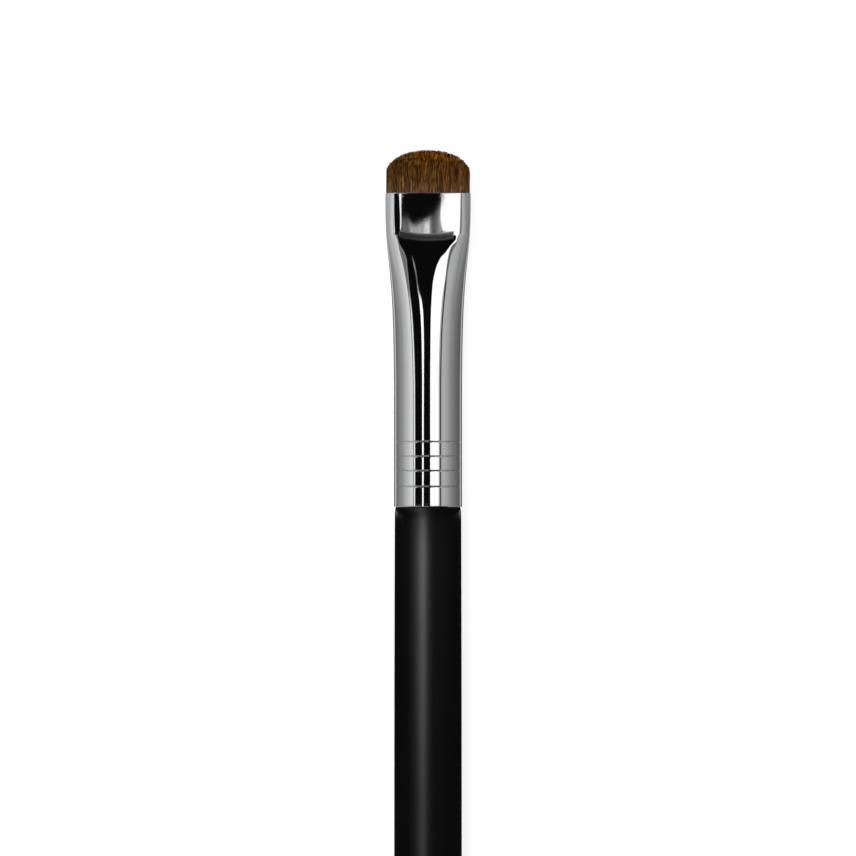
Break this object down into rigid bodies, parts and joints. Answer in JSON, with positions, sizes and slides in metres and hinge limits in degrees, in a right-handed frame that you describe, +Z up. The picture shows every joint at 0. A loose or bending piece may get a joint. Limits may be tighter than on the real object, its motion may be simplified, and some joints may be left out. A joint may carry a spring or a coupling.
{
  "type": "eyeshadow brush",
  "caption": "Flat makeup brush: dense domed brown hair in a chrome ferrule pressed from round tube to a flat mouth, on a slim black lacquered handle.",
  "frame": {"origin": "on the table, under the middle of the brush's length and width, as the brush lies on it", "axes": "+Y runs along the brush towards the hair, +Z is up and is the side that the flat panel of the ferrule faces, +X is across the brush to the right when the hair points away"},
  "size_m": [0.0094, 0.17, 0.0075],
  "materials": {
    "hair": "fine dark brown animal hair, lighter and more orange at the tips",
    "thread": "waxed twisted thread",
    "resin": "cured amber epoxy resin",
    "ferrule_plating": "bright nickel plate, mirror polished",
    "glue": "dried wood glue",
    "handle_wood": "plain turned birch, straight grained",
    "lacquer": "smooth black lacquer with a soft gloss"
  },
  "bodies": {
    "root": {"hair_tuft": "hair", "binding_thread": "thread", "root_resin": "resin", "ferrule": "ferrule_plating", "tenon_glue": "glue", "handle_core": "handle_wood", "handle_lacquer": "lacquer"}
  },
  "joints": []
}
